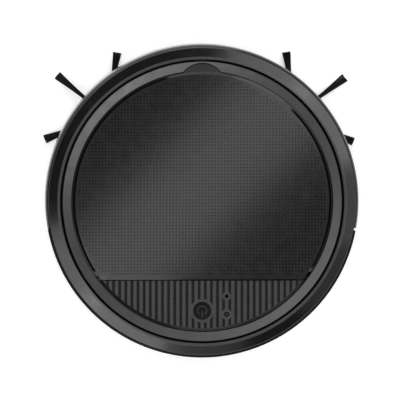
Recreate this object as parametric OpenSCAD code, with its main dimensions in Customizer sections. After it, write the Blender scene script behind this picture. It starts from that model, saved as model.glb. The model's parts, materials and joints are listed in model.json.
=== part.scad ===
// Round floor-cleaning robot with a hinged top lid, a sprung bumper, two sprung
// drive wheels, a swivel caster, two side brushes and a top-loaded dust bin.
// Frame: origin on the floor below the body's centre, +Z up, +Y forwards, +X right.

/* [Body] */
// Diameter across the bumper
body_d = 280; // [278:1:284]
// Height of the top land above the floor
body_h = 76; // [76:0.5:78]
// Height of the base plate above the floor
ground_gap = 10; // [9.5:0.5:10]
// Thickness of the inner skirts
skirt_t = 2.2; // [2:0.1:2.4]

/* [Top face] */
// Diameter of the trim ring around the lid
ring_d = 249.6; // [249:0.1:250]
// Diameter of the lid
lid_d = 232.2; // [232:0.1:233]
// Distance from the centre back to the seam behind the lid
seam_back = 70.4; // [70:0.1:71]
// Spacing of the ribs on the control panel
rib_pitch = 5.46; // [5:0.01:6]

/* [Drive wheels] */
// Outer diameter of a drive wheel
wheel_d = 58; // [56:0.5:58]
// Width of a drive wheel
wheel_w = 18; // [16:0.5:18]

/* [Side brushes] */
// Length of a brush arm from its hub axis to the bristle tips
brush_reach = 58; // [50:1:58]
// Number of arms on a brush
brush_arms = 6; // [3:1:7]
// Angle of the left brush's first arm
left_brush_phase = 20.5; // [0:0.5:60]
// Angle of the right brush's first arm
right_brush_phase = 36.5; // [0:0.5:60]

/* [Hidden] */
$fn = 96;
eps = 0.01;

// Radii of the body
body_r = body_d / 2;
lip_r = body_r - 2.6;
skirt_r = body_r - 8.5;
skirt_in = skirt_r - skirt_t;
band_in_r = 129.4;
land_in_r = 126.5;
ring_r = ring_d / 2;
ring_in_r = 116.6;
lid_r = lid_d / 2;
face_r = 113.4;
recess_r = 118.2;
deck_ledge_r = 113.9;
ledge_t = 1.8;
groove_drop = 1.3;

// Heights
z_land = body_h;
z_band = z_land - 3.6;
z_lip = z_land - 5.6;
z_seat = z_land - 3;
z_rim = z_land - 1.6;
z_face = z_land - 3.3;
z_plate = z_land - 4.4;
z_lid_under = z_land - 5.8;
z_support = z_land - 6.1;
z_deck = z_land - 10;
deck_t = 2.2;
z_split = 40;
z_base = ground_gap;
base_t = 2.4;
z_floor = z_base + base_t;

// Bumper and rear skirt
shoulder_r = 6;
side_low = 18;
bumper_t = 1.5;
rear_t = 2;
bumper_half = 100;
bumper_travel = 2.5;
pad_z = [15.1, 17.4];
post_end = 101;
switch_y = 97;
switch_half = 5;
end_gap = 1.2;
post_x = 60;
post_z = 47;
post_r = 2.5;
flange_r = 5.4;
flange_y = 121.5;
pocket_r = 5.8;
pocket_y = 116.6;
spring_gap = 0.5;
run = 0.05;
window_half = 24;
window_z = [33, 51];
exhaust_half = 27;
exhaust_top = 57;
vent_count = 9;
vent_pitch = 5.6;
jack_angle = 225;
jack_r = 5.4;
rocker_angle = 315;
side_z = 33;
rocker_pivot_r = 133.5;

// Lid, its seam and its tab
seam_gap = 0.8;
lid_back = -(seam_back - seam_gap / 2);
panel_front = -(seam_back + seam_gap / 2);
tab_r = 20.9;
tab_gap = 0.7;
tab_y = 102.2;
hinge_y = lid_back + 1.8;
hinge_z = z_face - 1.5;
hinge_pin_r = 0.9;
corner_r = 114.1;
corner_y = -62.5;
lug_x = 85;
lid_rib_x = 74;
lid_rib_t = 1.6;

// Control panel
button_y = -97.6;
button_r = 7.6;
button_z = 67.6;
dish_r = 30;
button_well_r = 8.1;
boss_r = 10.6;
rib_w = 5.2;
rib_top_w = 2.6;
rib_h = 0.72;
rib_chamfer = 0.4;
rib_chamfer_h = 0.12;
led_x = 4 * rib_pitch;
led_y = -84.75;
receiver_y = -100.9;
led_r = 1.7;
receiver_r = 2.3;
led_boss_r = 3.9;
receiver_boss_r = 4.7;
lens_z = 66;

// Dust bin and the air path
bay = [[-56, -61], [56, -1]];
bay_t = 1.5;
bin_gap = 1.2;
bin_t = 1.6;
duct_front = 20;
mouth = [[-54, 1.5], [54, 18]];
inlet_w = 60;
inlet_z = [32, 50];
outlet_w = 84;
outlet_z = [26, 56];
bin = [bay[0] + [bay_t + bin_gap, bay_t + bin_gap], bay[1] - [bay_t + bin_gap, bay_t + bin_gap]];
bin_z = [z_floor + 0.6, z_deck - 3];
flap_y = bin[1][1] - bin_t - 1.6;
flap_z = inlet_z[1] + 2.4;
flap_pin_r = 1.1;
fan_z = 40;
fan_r = 21;
fan_t = 1.6;
fan_front = -77;
fan_back = -114;
impeller_y = -89;
impeller_r = 17.5;
impeller_hub_r = 4;

// Battery
battery = [[-34, 22], [34, 78]];
door = [[-42, 21], [42, 79]];

// Caster
caster_y = 101;
caster_trail = 5;
caster_r = 13;
caster_w = 11;
caster_pin_r = 2;
cavity_r = 20;
socket_z = 34;
fork_z = 30.5;
fork_x = 7.5;
stem_r = 3;

// Side brushes
brush_x = 84;
brush_y = 74.5;
spindle_r = 2.5;
brush_hub_r = 10.5;
tuft_in = 21.45;
hub_z = 6.4;

// Drive wheels
wheel_r = wheel_d / 2;
wheel_in = 91;
wheel_y = -12;
arch_r = 33;
arch_t = 1.2;
arch_out = 111.8;
opening_in = 67;
wheel_z = wheel_r;
axle_r = 3;
pivot_y = 42;
pivot_z = 34;
pivot_r = 2;
arm_in = 70;
arm_out = 89.5;
spring_x = 79;
spring_z = 51.7;
gear_m = 0.8;
gear_teeth = 48;
pinion_teeth = 12;
centre_dist = gear_m * (gear_teeth + pinion_teeth) / 2;
pinion_angle = 20;
pinion_y = wheel_y + centre_dist * cos(pinion_angle);
pinion_z = wheel_z + centre_dist * sin(pinion_angle);

// Places on the base plate and the board, as [x, y]
board = [[-46, -103], [46, -80]];
board_z = [62.4, 64];
board_posts = [[-41, -84], [41, -84], [-34, -99], [34, -99]];
cliff_places = [[-72, 96], [72, 96], [-22, 122], [22, 122]];
screw_places = [[-40, -112], [40, -112], [-104, -60], [104, -60],
    [-50, 88], [50, 88], [-112, 44], [112, 44]];
contact_place = [34, 108];
contact_size = [14.4, 6.4];
screw_r = 1.6;
screw_hole_r = 1.7;
screw_head_r = 3.2;
door_head_r = 2.8;

// ---------------------------------------------------------------- helpers

module ring(r_out, r_in, h) {
    difference() {
        cylinder(r = r_out, h = h);
        translate([0, 0, -1]) cylinder(r = r_in, h = h + 2);
    }
}

// A box from one corner to the opposite one
module block(a, b) {
    translate(a) cube(b - a);
}

// A box given by its plan corners and its heights
module prism(plan, z) {
    block([plan[0][0], plan[0][1], z[0]], [plan[1][0], plan[1][1], z[1]]);
}

module rounded(w, d, r) {
    square([w - 2 * r, d], center = true);
    square([w, d - 2 * r], center = true);
    for (x = [-1, 1], y = [-1, 1])
        translate([x * (w / 2 - r), y * (d / 2 - r)]) circle(r = r, $fn = 32);
}

module rounded_box(size, r) {
    linear_extrude(size[2]) rounded(size[0], size[1], r);
}

// A wedge about the Z axis, between two angles from +X
module wedge(a0, a1, z0, z1) {
    r = 2 * body_r;
    steps = 8;
    translate([0, 0, z0]) linear_extrude(z1 - z0)
        polygon(concat([[0, 0]],
            [for (i = [0 : steps]) let (a = a0 + (a1 - a0) * i / steps) r * [cos(a), sin(a)]]));
}

module along_x(x0, x1, r) {
    translate([x0, 0, 0]) rotate([0, 90, 0]) cylinder(r = r, h = x1 - x0);
}

module along_y(y0, y1, r) {
    translate([0, y1, 0]) rotate([90, 0, 0]) cylinder(r = r, h = y1 - y0);
}

module at_pair() {
    children();
    mirror([1, 0, 0]) children();
}

// A helical wire along +Z with flat-cut ends
module coil(r, wire, length, turns) {
    sides = 6;
    per_turn = 16;
    n = turns * per_turn;
    pts = [for (i = [0 : n], s = [0 : sides - 1])
        let (a = 360 * i / per_turn, b = 360 * s / sides, rr = r + wire * cos(b))
        [rr * cos(a), rr * sin(a), wire + (length - 2 * wire) * i / n + wire * sin(b)]];
    skin = [for (i = [0 : n - 1], s = [0 : sides - 1])
        let (p = i * sides + s, q = i * sides + (s + 1) % sides)
        [p, q, q + sides, p + sides]];
    cap0 = [for (s = [sides - 1 : -1 : 0]) s];
    cap1 = [for (s = [0 : sides - 1]) n * sides + s];
    polyhedron(pts, concat(skin, [cap0, cap1]), convexity = 8);
}

// Outline of a spur gear with involute flanks, a little thin so that it runs free
function invol(a) = tan(a) * 180 / PI - a;
function flank(n, m, side) =
    let (rp = m * n / 2, rb = rp * cos(20), ra = rp + 0.85 * m, rr = rp - 1.2 * m,
         r0 = max(rb, rr), half = 90 / n * 0.86, steps = 4,
         curve = [for (i = [0 : steps]) let (r = r0 + (ra - r0) * i / steps)
            [r, half + invol(20) - invol(acos(min(1, rb / r)))]],
         rooted = rr < r0 ? concat([[rr, curve[0][1]]], curve) : curve)
    side < 0 ? rooted : [for (i = [len(rooted) - 1 : -1 : 0]) rooted[i]];

module gear_outline(n, m) {
    polygon([for (k = [0 : n - 1], side = [-1, 1], p = flank(n, m, side))
        let (a = 360 * k / n + side * p[1]) p[0] * [cos(a), sin(a)]]);
}

// ---------------------------------------------------------------- shells

module top_shell() {
    color("#2b2c2e") difference() {
        union() {
            rotate_extrude($fn = 180) polygon([
                [lip_r, z_lip], [lip_r, z_band - 0.6], [lip_r - 0.5, z_band],
                [band_in_r, z_land - 0.2], [band_in_r - 0.6, z_land],
                [land_in_r + 0.6, z_land], [land_in_r, z_land - 0.6],
                [land_in_r, z_seat - groove_drop], [ring_r + run, z_seat],
                [recess_r, z_seat], [recess_r, z_support],
                [face_r + 0.3, z_support], [face_r + 0.3, z_support - ledge_t],
                [recess_r, z_support - ledge_t], [recess_r, z_deck - deck_t],
                [deck_ledge_r, z_deck - deck_t], [deck_ledge_r, z_deck - deck_t - ledge_t],
                [recess_r + skirt_t, z_deck - deck_t - ledge_t],
                [recess_r + skirt_t, z_land - 5.2], [skirt_in, z_land - 5.2],
                [skirt_in, z_split], [skirt_r, z_split], [skirt_r, z_lip]]);
            at_pair() translate([post_x, 0, post_z]) along_y(100, pocket_y + 1.4, pocket_r + 1.1);
            tab_cup();
            at_pair() hinge_block();
        }
        translate([0, tab_y, z_support - 1.4]) cylinder(r = tab_r + tab_gap, h = 20);
        at_pair() translate([post_x, 0, post_z]) {
            along_y(90, 130, post_r + run);
            along_y(pocket_y, 130, pocket_r);
        }
        intersection() {
            block([-130, panel_front, z_support - 2.8], [130, corner_y, z_support + 0.5]);
            cylinder(r = recess_r + 0.4, h = 90);
        }
        at_pair() translate([0, hinge_y, hinge_z]) along_x(90, 106, hinge_pin_r + run);
        block([-exhaust_half, -140, z_split - 1], [exhaust_half, -120, exhaust_top]);
    }
}

module tab_cup() {
    intersection() {
        translate([0, tab_y, z_support - 3.2]) cylinder(r = tab_r + 3, h = 6.3);
        translate([0, 0, 60]) ring(128, recess_r, 20);
    }
}

module hinge_block() {
    intersection() {
        block([94, hinge_y - 4, hinge_z - 3.4], [107, hinge_y + 4, z_seat]);
        translate([0, 0, 60]) ring(125, recess_r, 20);
    }
}

module trim_ring() {
    color("#3a3b3d") difference() {
        rotate_extrude($fn = 180) polygon([
            [ring_in_r, z_seat], [ring_r, z_seat], [ring_r, z_land - 0.4],
            [ring_r - 0.4, z_land - 0.1], [ring_in_r + 0.35, z_land - 1.35],
            [ring_in_r, z_land - 1.6]]);
        translate([0, tab_y, z_seat - 1]) cylinder(r = tab_r + tab_gap, h = 20);
    }
}

module bottom_shell() {
    color("#26272a") difference() {
        union() {
            rotate_extrude($fn = 180) polygon([
                [0, z_base], [body_r - 12, z_base], [lip_r - 0.8, z_base + 4.6],
                [lip_r, z_base + 5.6], [lip_r, z_base + 6.8], [skirt_r, z_base + 6.8],
                [skirt_r, z_split], [skirt_in, z_split], [skirt_in, z_base + 6],
                [body_r - 13, z_floor], [0, z_floor]]);
            for (p = screw_places) translate([p[0], p[1], z_base]) cylinder(r = 5, h = 8, $fn = 32);
            at_pair() block([post_x - 4, switch_y - 5.5, z_floor],
                [post_x + 4, switch_y - 0.5, post_z - switch_half]);
            for (a = [90 + bumper_half, 450 - bumper_half]) end_pad(a);
            difference() {
                prism([door[0] - [2, 0.8], door[1] + [2, 0]], [z_floor, z_floor + 5]);
                prism([[battery[0][0] - 0.5, battery[0][1] - 0.4],
                    [battery[1][0] + 0.5, battery[1][1] + 0.4]], [z_floor - 1, z_floor + 6]);
            }
        }
        at_pair() prism([[opening_in, wheel_y - arch_r - 0.6],
            [arch_out - 0.5, wheel_y + arch_r + 0.6]], [0, z_floor + 2]);
        at_pair() translate([brush_x, brush_y, 0]) cylinder(r = 4, h = 30);
        translate([0, caster_y, 0]) cylinder(r = cavity_r, h = z_floor + 5);
        prism(mouth, [0, z_floor + 1]);
        prism([door[0] - [0.4, 0.3], door[1] + [0.4, 0.3]], [0, z_floor]);
        at_pair() translate(concat(contact_place, 0)) rounded_box(concat(contact_size, 30), 1.5);
        for (c = cliff_places) translate([c[0], c[1], 0]) rounded_box([13, 8, 30], 1.5);
        block([-exhaust_half, -140, 20], [exhaust_half, -120, z_split + 1]);
        rotate([0, 0, jack_angle]) translate([0, 0, side_z]) along_x(120, 136, jack_r);
        rotate([0, 0, rocker_angle]) block([120, -8, side_z - 6], [136, 8, side_z + 6]);
        for (p = screw_places) translate([p[0], p[1], z_base - 1]) {
            cylinder(r = screw_head_r + 0.4, h = 3.2, $fn = 32);
            cylinder(r = screw_hole_r, h = 20, $fn = 32);
        }
        door_screw_places() cylinder(r = screw_hole_r, h = 20, $fn = 32);
    }
}

// A wear pad below the gap at one end of the bumper
module end_pad(a) {
    intersection() {
        translate([0, 0, pad_z[0]]) ring(body_r - 0.5, skirt_r + 2.5, pad_z[1] - pad_z[0]);
        wedge(a - 2.4, a + 2.4, 0, body_h);
    }
}

module door_screw_places() {
    at_pair() translate([door[1][0] - 4, door[1][1] - 5, 0]) children();
}

// The side wall's outline: a rounded shoulder, an upright wall and a tucked-in foot
module side_profile(t) {
    difference() {
        union() {
            translate([body_r - shoulder_r, z_lip - 6.4]) circle(r = shoulder_r, $fn = 64);
            polygon([[body_r - 6, 30], [body_r - 1.2, side_low], [body_r - 0.4, side_low + 0.5],
                [body_r, 24], [body_r, z_lip - 6.4], [body_r - 6, z_lip - 6.4]]);
        }
        translate([body_r - shoulder_r, z_lip - 6.4]) circle(r = shoulder_r - t, $fn = 64);
        polygon([[body_r - 8, 12], [body_r - t - 1, 12], [body_r - t - 1, side_low + 1],
            [body_r - t, 24], [body_r - t, z_lip - 6.4], [body_r - 8, z_lip - 6.4]]);
        translate([0, 50]) square([body_r - 5.2, 30]);
        translate([body_r - 9, 40]) square([8 - t, z_lip - 6.4 - 40]);
    }
}

module side_arc(t, a0, a1) {
    intersection() {
        rotate_extrude($fn = 180) side_profile(t);
        wedge(a0, a1, 0, 90);
    }
}

module bumper() {
    color("#303134") union() {
        difference() {
            side_arc(bumper_t, 90 - bumper_half, 90 + bumper_half);
            difference() {
                wedge(90 - window_half, 90 + window_half, window_z[0], window_z[1]);
                cylinder(r = body_r - 1, h = 60);
            }
        }
        at_pair() intersection() {
            translate([post_x, 0, post_z]) union() {
                along_y(post_end, 130, post_r);
                along_y(flange_y, 130, flange_r);
            }
            cylinder(r = body_r - 1, h = 90);
        }
    }
}

module bumper_window() {
    color("#101113") intersection() {
        translate([0, 0, window_z[0]]) ring(body_r - 0.1, body_r - 1, window_z[1] - window_z[0]);
        wedge(90 - window_half, 90 + window_half, window_z[0], window_z[1]);
    }
}

module bumper_springs() {
    color("#c8c9cc") at_pair() translate([post_x, pocket_y + spring_gap, post_z]) rotate([-90, 0, 0])
        coil(3.6, 0.45, flange_y - pocket_y - spring_gap - 0.2, 3);
}

module bumper_switches() {
    color("#1d3d63") at_pair() translate([post_x, switch_y, post_z]) {
        block([-6.5, -6, -switch_half], [6.5, 0, switch_half]);
        along_y(-1, post_end - bumper_travel - 0.3 - switch_y, 1.5);
    }
}

module rear_skirt() {
    color("#303134") difference() {
        union() {
            side_arc(rear_t, 90 + bumper_half + end_gap, 450 - bumper_half - end_gap);
            for (a = [-11.5, 180]) intersection() {
                translate([0, 0, 27]) ring(138.2, 136.2, 35);
                wedge(a, a + 11.5, 0, 90);
            }
            at_pair() rotate([0, 0, -60]) block([skirt_r, -5, 44], [body_r - 1.5, 5, 47]);
        }
        for (i = [0 : vent_count - 1]) {
            x = (i - (vent_count - 1) / 2) * vent_pitch;
            translate([x, -body_r, 25]) rotate([90, 0, 0]) translate([0, 12, -8])
                rounded_box([2.6, 26, 16], 1.29);
        }
        rotate([0, 0, jack_angle]) translate([0, 0, side_z]) along_x(134, 144, 4.4);
        rotate([0, 0, rocker_angle]) block([134, -8.2, side_z - 6.2], [144, 8.2, side_z + 6.2]);
    }
}

// ---------------------------------------------------------------- top face

module rib(x) {
    translate([x, 0, z_face - rib_h]) rotate([90, 0, 0]) linear_extrude(120)
        polygon([[-rib_w / 2, 0], [rib_w / 2, 0], [rib_top_w / 2, rib_h - rib_chamfer_h],
            [rib_top_w / 2 - rib_chamfer, rib_h], [rib_chamfer - rib_top_w / 2, rib_h],
            [-rib_top_w / 2, rib_h - rib_chamfer_h]]);
}

module control_panel() {
    ribs = floor(96 / rib_pitch);
    color("#333436") difference() {
        union() {
            intersection() {
                union() {
                    translate([0, 0, z_support]) cylinder(r = lid_r, h = z_face - rib_h - z_support);
                    rim();
                    intersection() {
                        for (i = [-ribs : ribs]) rib(i * rib_pitch);
                        cylinder(r = face_r + 0.5, h = 100);
                    }
                }
                block([-lid_r, -lid_r, 0], [lid_r, panel_front, body_h]);
            }
            translate([0, button_y, z_support]) cylinder(r = boss_r, h = z_face - z_support);
            translate([led_x, led_y, z_support])
                cylinder(r = led_boss_r, h = z_face - z_support, $fn = 48);
            translate([led_x, receiver_y, z_support])
                cylinder(r = receiver_boss_r, h = z_face - z_support, $fn = 48);
            for (p = board_posts) translate([p[0], p[1], board_z[1]])
                cylinder(r = 2.6, h = 6.2, $fn = 32);
        }
        translate([0, button_y, 60]) cylinder(r = button_well_r, h = 20);
        translate([led_x, led_y, 60]) cylinder(r = led_r, h = 20, $fn = 48);
        translate([led_x, receiver_y, 60]) cylinder(r = receiver_r, h = 20, $fn = 48);
    }
}

// The raised rim that runs round the lid and the control panel
module rim() {
    rotate_extrude($fn = 180) polygon([
        [face_r, z_support + 0.3], [lid_r, z_support + 0.3], [lid_r, z_rim - 0.3],
        [lid_r - 0.3, z_rim], [lid_r - 0.5, z_rim], [face_r + 0.05, z_face],
        [face_r, z_face - 0.3]]);
}

module power_button() {
    color("#232427") difference() {
        union() {
            translate([0, button_y, button_z]) cylinder(r = button_r, h = z_face - 0.2 - button_z);
            translate([0, button_y, button_z]) cylinder(r = button_r + 2, h = 1.4);
            translate([0, button_y, button_z - 1.3]) cylinder(r = 2, h = 3, $fn = 32);
        }
        translate([0, button_y, z_face - 1.3 + dish_r]) sphere(r = dish_r, $fn = 128);
    }
}

module button_spring() {
    color("#c8c9cc") translate([0, button_y, board_z[1]]) coil(4.7, 0.3, button_z - board_z[1], 3);
}

module indicator_lenses() {
    color("#0b0b0c") {
        translate([led_x, led_y, lens_z]) cylinder(r = led_r - run, h = z_face - 0.5 - lens_z, $fn = 48);
        translate([led_x, receiver_y, lens_z])
            cylinder(r = receiver_r - run, h = z_face - 1.4 - lens_z, $fn = 48);
        intersection() {
            translate([led_x, receiver_y, z_face - 2.4]) sphere(r = receiver_r - run, $fn = 48);
            translate([led_x - 3, receiver_y - 3, z_face - 1.5]) cube(6);
        }
    }
}

module lid() {
    color("#333436") difference() {
        union() {
            intersection() {
                union() {
                    translate([0, 0, z_lid_under]) cylinder(r = lid_r, h = z_plate - z_lid_under);
                    rim();
                }
                block([-120, lid_back, z_lid_under], [120, 120, 100]);
            }
            difference() {
                translate([0, tab_y, z_lid_under]) cylinder(r = tab_r, h = z_rim - z_lid_under);
                cylinder(r = lid_r - 0.5, h = 100);
            }
            intersection() {
                at_pair() block([lug_x, lid_back, hinge_z - 2], [95, hinge_y + 2, z_face]);
                cylinder(r = corner_r, h = 100);
            }
            translate([0, 0, z_lid_under - 1]) linear_extrude(1 + eps) lid_ribs();
        }
        difference() {
            block([-130, -130, 60], [130, corner_y, 90]);
            cylinder(r = corner_r, h = 100);
        }
        block([-130, -130, z_face], [130, corner_y, 90]);
        at_pair() translate([0, hinge_y, hinge_z]) along_x(80, 96, hinge_pin_r);
    }
}

// The stiffening ribs under the lid, in plan
module lid_ribs() {
    for (y = [-30, 10, 50]) translate([0, y]) square([2 * lid_rib_x, lid_rib_t], center = true);
    for (s = [-1, 1]) translate([s * lid_rib_x, 10]) square([lid_rib_t, 100], center = true);
}

// The textured face sheet, set into the lid
module lid_panel() {
    color("#3d3e40") difference() {
        intersection() {
            translate([0, 0, z_plate]) cylinder(r = face_r - 0.05, h = z_face - 0.1 - z_plate);
            block([-120, lid_back + 0.6, 0], [120, 120, 100]);
        }
        at_pair() block([lug_x - 0.1, -80, 60], [100, hinge_y + 2.1, 90]);
    }
}

module lid_hinge_pins() {
    color("#b9bbbe") at_pair() translate([0, hinge_y, hinge_z]) along_x(86, 104, hinge_pin_r);
}

// ---------------------------------------------------------------- dust bin and air path

module inner_deck() {
    color("#2a2b2e") difference() {
        intersection() {
            translate([0, 0, z_deck - deck_t]) cylinder(r = recess_r - 0.2, h = deck_t);
            block([-120, -61.2, 0], [120, 120, 100]);
        }
        prism([bay[0] + [bay_t, bay_t], bay[1] - [bay_t, bay_t]], [0, 90]);
        translate([0, 66, z_deck - 1]) rounded_box([70, 40, 3], 8);
        for (s = [-1, 1]) translate([s * 88, 6, z_deck - 1]) rounded_box([30, 60, 3], 8);
    }
}

module bin_bay() {
    z0 = z_floor;
    color("#232427") difference() {
        prism(bay, [z0, z_deck - deck_t]);
        prism([bay[0] + [bay_t, bay_t], bay[1] - [bay_t, bay_t]], [0, 90]);
        block([-inlet_w / 2, bay[1][1] - 5, inlet_z[0]], [inlet_w / 2, bay[1][1] + 5, inlet_z[1]]);
        block([-outlet_w / 2, bay[0][1] - 5, outlet_z[0]], [outlet_w / 2, bay[0][1] + 5, outlet_z[1]]);
    }
}

module dust_bin() {
    color("#55585c") difference() {
        union() {
            difference() {
                prism(bin, bin_z);
                prism([bin[0] + [bin_t, bin_t], bin[1] - [bin_t, bin_t]], [bin_z[0] + bin_t, 90]);
            }
            at_pair() block([inlet_w / 2 + 2, flap_y - 2.4, flap_z - 2.4],
                [inlet_w / 2 + 4.5, bin[1][1] - eps, flap_z + 2.4]);
        }
        translate([0, flap_y, flap_z]) along_x(-50, 50, flap_pin_r + run);
        block([-inlet_w / 2 + 1, bin[1][1] - 5, inlet_z[0] + 1],
            [inlet_w / 2 - 1, bin[1][1] + 5, inlet_z[1] - 1]);
        block([-outlet_w / 2 + 1, bin[0][1] - 5, outlet_z[0] + 1],
            [outlet_w / 2 - 1, bin[0][1] + 5, outlet_z[1] - 1]);
    }
}

module bin_cover() {
    z = bin_z[1];
    color("#3c3f43") difference() {
        union() {
            prism([bin[0], bin[1]], [z, z_deck]);
            translate([0, (bin[0][1] + bin[1][1]) / 2, z_deck])
                rounded_box([bin[1][0] - bin[0][0] + 5, bin[1][1] - bin[0][1] + 5, 1.6], 4);
        }
        prism([bin[0] + [bin_t, bin_t], bin[1] - [bin_t, bin_t]], [z - 1, z + 1.4]);
        for (s = [-1, 1]) translate([0, (bin[0][1] + bin[1][1]) / 2 + s * 13, z_deck - 0.4])
            rounded_box([44, 15, 10], 5);
    }
}

module bin_flap() {
    color("#1c1c1e") {
        block([-inlet_w / 2 - 1, flap_y, inlet_z[0] - 1], [inlet_w / 2 + 1, flap_y + 1.2, flap_z]);
        translate([0, flap_y, flap_z]) along_x(-inlet_w / 2 - 4, inlet_w / 2 + 4, flap_pin_r);
    }
}

module hepa_filter() {
    y = bin[0][1];
    pleats = 26;
    w = outlet_w - 4;
    step = w / pleats;
    color("#d9d6cc") {
        difference() {
            block([-outlet_w / 2 - 1, y + bin_t, outlet_z[0] - 1],
                [outlet_w / 2 + 1, y + bin_t + 9, outlet_z[1] + 1]);
            block([-w / 2, y - 1, outlet_z[0] + 1.5], [w / 2, y + 20, outlet_z[1] - 1.5]);
        }
        translate([0, 0, outlet_z[0] + 1.5]) linear_extrude(outlet_z[1] - outlet_z[0] - 3)
            polygon(concat(
                [for (i = [0 : pleats]) [-w / 2 + i * step, y + bin_t + (i % 2 == 0 ? 1 : 7)]],
                [for (i = [pleats : -1 : 0]) [-w / 2 + i * step, y + bin_t + (i % 2 == 0 ? 1.9 : 7.9)]]));
    }
}

module suction_duct() {
    color("#2c2d30") difference() {
        prism([[-57, bay[1][1]], [57, duct_front]], [z_floor, inlet_z[1] + 4]);
        prism([[mouth[0][0], bay[1][1] - 1], mouth[1]], [0, inlet_z[1] + 2]);
    }
}

module scraper_strip() {
    color("#17181a") {
        difference() {
            prism([mouth[0] - [3.5, 3], mouth[1] + [3.5, 2.5]], [z_base - 3, z_base]);
            prism([mouth[0] - [1, 1], mouth[1] + [1, 1]], [0, 20]);
        }
        prism([[mouth[0][0] - 2, mouth[0][1] - 6], [mouth[1][0] + 2, mouth[0][1] - 4]], [2.5, z_base]);
    }
}

module fan_housing() {
    color("#3a3c40") difference() {
        union() {
            translate([0, 0, fan_z]) along_y(fan_back, fan_front, fan_r);
            block([-outlet_w / 2 - 2, fan_front, outlet_z[0] - 2],
                [outlet_w / 2 + 2, bay[0][1], outlet_z[1] + 2]);
        }
        translate([0, 0, fan_z]) {
            along_y(fan_back - 1, fan_front - 2, fan_r - fan_t);
            along_y(fan_back, fan_front + 1, 12);
        }
        block([-outlet_w / 2, fan_front + 2, outlet_z[0]], [outlet_w / 2, bay[0][1] + 1, outlet_z[1]]);
        translate([-14, fan_back - 1, fan_z - fan_r - 1]) cube([28, 24, 8]);
    }
}

module fan_impeller() {
    blades = 9;
    color("#c2c5c9") translate([0, 0, fan_z]) union() {
        along_y(impeller_y - 1.2, impeller_y, impeller_r);
        along_y(impeller_y - 6, impeller_y + 7, impeller_hub_r);
        for (i = [0 : blades - 1]) rotate([0, 360 * i / blades, 0])
            block([impeller_hub_r - 1, impeller_y - 0.1, -0.7], [impeller_r - 0.5, impeller_y + 7, 0.7]);
    }
}

module fan_motor() {
    color("#8b8e93") translate([0, 0, fan_z]) difference() {
        union() {
            along_y(fan_back + 3, impeller_y - 2.5, 12);
            for (a = [30, 150, 270]) rotate([0, a, 0])
                block([10, fan_back + 4, -1.2], [fan_r - fan_t - run, fan_back + 14, 1.2]);
        }
        along_y(impeller_y - 8, impeller_y - 1, impeller_hub_r + run);
    }
}

// ---------------------------------------------------------------- power and controls

module battery_pack() {
    r = 9.2;
    color("#2f6db0") union() {
        for (i = [0 : 2]) translate([0, battery[0][1] + r + 0.4 + i * 18.4, z_floor + 0.2 + r])
            along_x(battery[0][0] + 1, battery[1][0] - 1, r);
        prism([battery[0] + [1, r], battery[1] - [1, r]], [z_floor + 4, z_floor + 14]);
    }
}

module battery_door() {
    color("#2b2c2f") difference() {
        prism(door, [z_base, z_floor]);
        door_screw_places() cylinder(r = screw_hole_r, h = 20, $fn = 32);
        for (i = [0 : 5]) translate([-12, door[0][1] + 5 + i * 2.4, z_base - 1]) cube([24, 1.2, 1.6]);
    }
}

module circuit_board() {
    color("#1e5a36") {
        difference() {
            prism(board, board_z);
            for (p = board_posts) translate([p[0], p[1], 60]) cylinder(r = 1.2, h = 6, $fn = 32);
        }
        translate([-2.5, button_y - 2.5, board_z[1]]) cube([5, 5, 1.5]);
        translate([-29, -96, board_z[1]]) cube([14, 14, 1.6]);
        translate([-44, -96, board_z[1]]) cube([10, 6, 3]);
        translate([32, -94, board_z[1]]) cube([12, 5, 4]);
    }
}

module charging_contacts() {
    color("#c9a45a") at_pair() translate(concat(contact_place, z_base - 0.6))
        rounded_box(concat(contact_size, 5), 1.5);
}

module dc_socket() {
    color("#151618") rotate([0, 0, jack_angle]) translate([0, 0, side_z]) union() {
        difference() {
            along_x(126, 137.8, jack_r);
            along_x(128.5, 140, 2.8);
        }
        along_x(128, 137.3, 1.05);
    }
}

module power_switch_body() {
    color("#17181a") rotate([0, 0, rocker_angle]) translate([0, 0, side_z]) difference() {
        union() {
            block([124, -8, -6], [137.9, 8, 6]);
            block([137.9, -8, -6], [body_r + 0.1, 8, 6]);
        }
        block([126, -7.4, -4.8], [142, 7.4, 4.8]);
        translate([rocker_pivot_r, 0, -5.5]) cylinder(r = 1.5 + run, h = 11, $fn = 32);
    }
}

module power_switch_rocker() {
    color("#26272a") rotate([0, 0, rocker_angle]) translate([rocker_pivot_r, 0, side_z]) rotate([0, 0, 7])
        union() {
            translate([0, 0, -4.4]) linear_extrude(8.8) polygon([[-3, -3.5], [3, -6], [5.6, -4.1],
                [5, 0], [5.6, 4.1], [3, 6], [-3, 3.5]]);
            translate([0, 0, -5.4]) cylinder(r = 1.5, h = 10.8, $fn = 32);
        }
}

module cliff_sensors() {
    color("#3b1420") for (c = cliff_places) translate([c[0], c[1], z_base + 0.4])
        rounded_box([13, 8, 7], 1.5);
}

module base_screws() {
    color("#9a9ca0") {
        for (p = screw_places) translate([p[0], p[1], z_base + 0.4]) difference() {
            union() {
                cylinder(r = screw_head_r, h = 1.8, $fn = 32);
                cylinder(r = screw_r, h = 8, $fn = 32);
            }
            for (a = [0, 90]) rotate([0, 0, a]) block([-1.9, -0.35, -1], [1.9, 0.35, 0.9]);
        }
        door_screw_places() translate([0, 0, z_base - 1.2]) difference() {
            union() {
                cylinder(r = door_head_r, h = 1.2, $fn = 32);
                cylinder(r = screw_r, h = 6, $fn = 32);
            }
            for (a = [0, 90]) rotate([0, 0, a]) block([-1.7, -0.3, -1], [1.7, 0.3, 0.7]);
        }
    }
}

// ---------------------------------------------------------------- caster

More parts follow.
